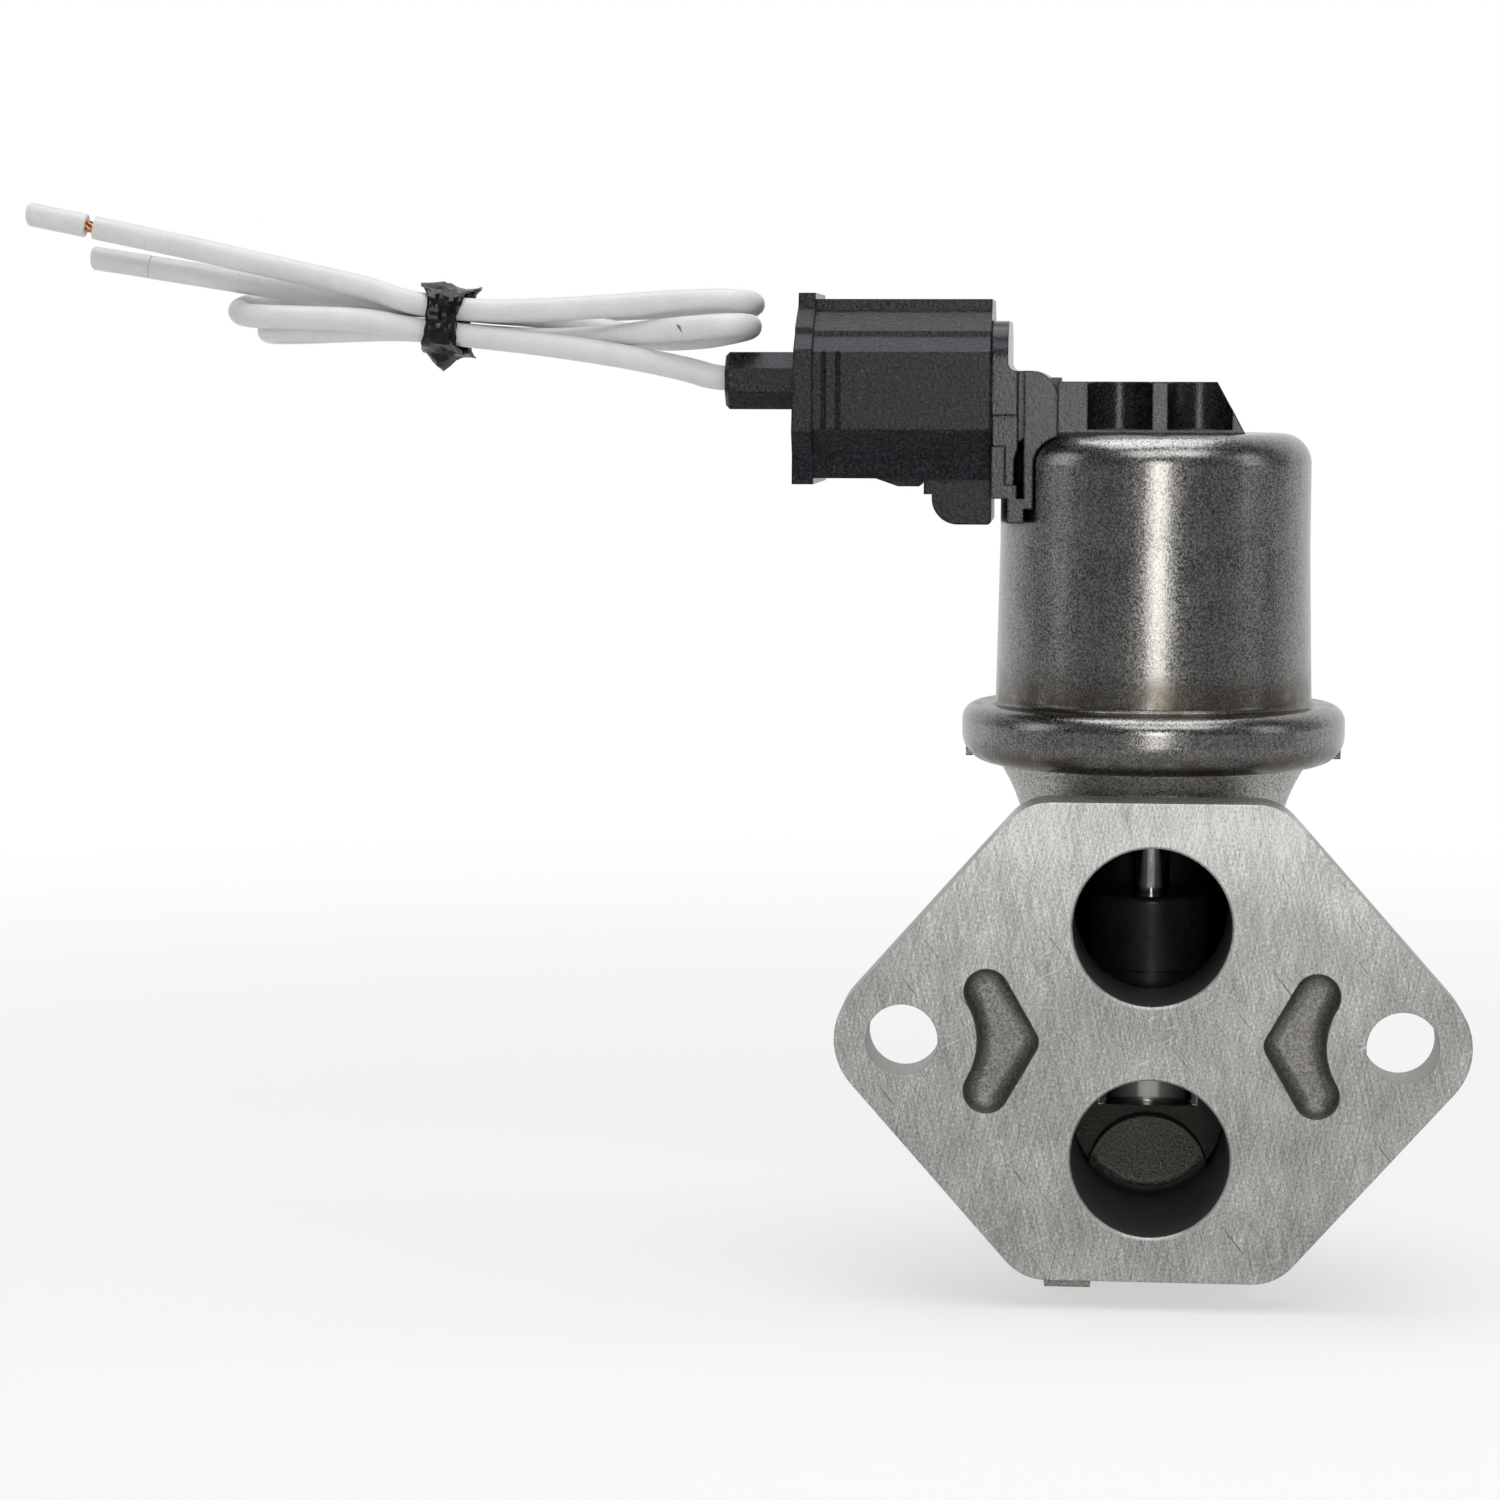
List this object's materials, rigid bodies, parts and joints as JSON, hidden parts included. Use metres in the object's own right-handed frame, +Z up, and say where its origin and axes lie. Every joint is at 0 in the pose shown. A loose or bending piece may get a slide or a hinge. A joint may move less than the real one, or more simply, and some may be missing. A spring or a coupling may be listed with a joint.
{
  "type": "idle air control valve",
  "caption": "Bypass air valve with a ported cast flange, a poppet worked by a crimped solenoid can, and a plugged-in connector whose white leads are folded into a tied hank.",
  "frame": {"origin": "centre of the bolt pattern on the machined flange face", "axes": "-Y is the outward normal of the flange face, +Z runs up the solenoid's axis, -X points to the plug"},
  "size_m": [0.1453, 0.0398, 0.1077],
  "materials": {
    "cast_aluminium": "die cast, with a machined flange face",
    "can_steel": "drawn steel, dull, with a fine vertical grain",
    "plate_steel": "turned",
    "bright_steel": "ground",
    "bronze": "turned",
    "copper": "bare copper",
    "tinned_brass": "tin plated",
    "black_rubber": "moulded",
    "bobbin_plastic": "moulded",
    "poppet_plastic": "moulded, smooth",
    "black_plastic": "moulded, finely textured",
    "plug_plastic": "moulded, finely textured",
    "white_insulation": "smooth extruded",
    "tie_film": "crumpled, shiny"
  },
  "bodies": {
    "valve": {"valve_body": "cast_aluminium", "solenoid_can": "can_steel", "base_plate": "plate_steel", "rim_seal": "black_rubber", "guide_bush": "bronze", "guide_tube": "bronze", "pole_piece": "plate_steel", "upper_bush": "bronze", "coil_bobbin": "bobbin_plastic", "coil_winding": "copper", "return_spring": "bright_steel", "cover_moulding": "black_plastic", "connector_blade_1": "tinned_brass", "connector_blade_2": "tinned_brass", "plug_housing": "plug_plastic", "plug_seal": "black_rubber", "plug_terminal_1": "tinned_brass", "plug_terminal_2": "tinned_brass", "wire_seal_1": "black_rubber", "wire_seal_2": "black_rubber", "wire_1": "white_insulation", "wire_2": "white_insulation", "wire_1_strands": "copper", "wire_1_slug": "white_insulation", "wire_2_slug": "white_insulation", "twist_tie": "tie_film"},
    "plunger": {"valve_shaft": "bright_steel", "valve_poppet": "poppet_plastic", "shaft_clip": "bright_steel", "armature": "plate_steel"}
  },
  "joints": [
    {"name": "plunger_slide", "type": "slide", "parent": "valve", "child": "plunger", "axis": [0, 0, 1], "range_m": [0, 0.003], "stiffness_N_per_m": 500, "springref_m": -0.004, "deforming": ["return_spring"]}
  ]
}
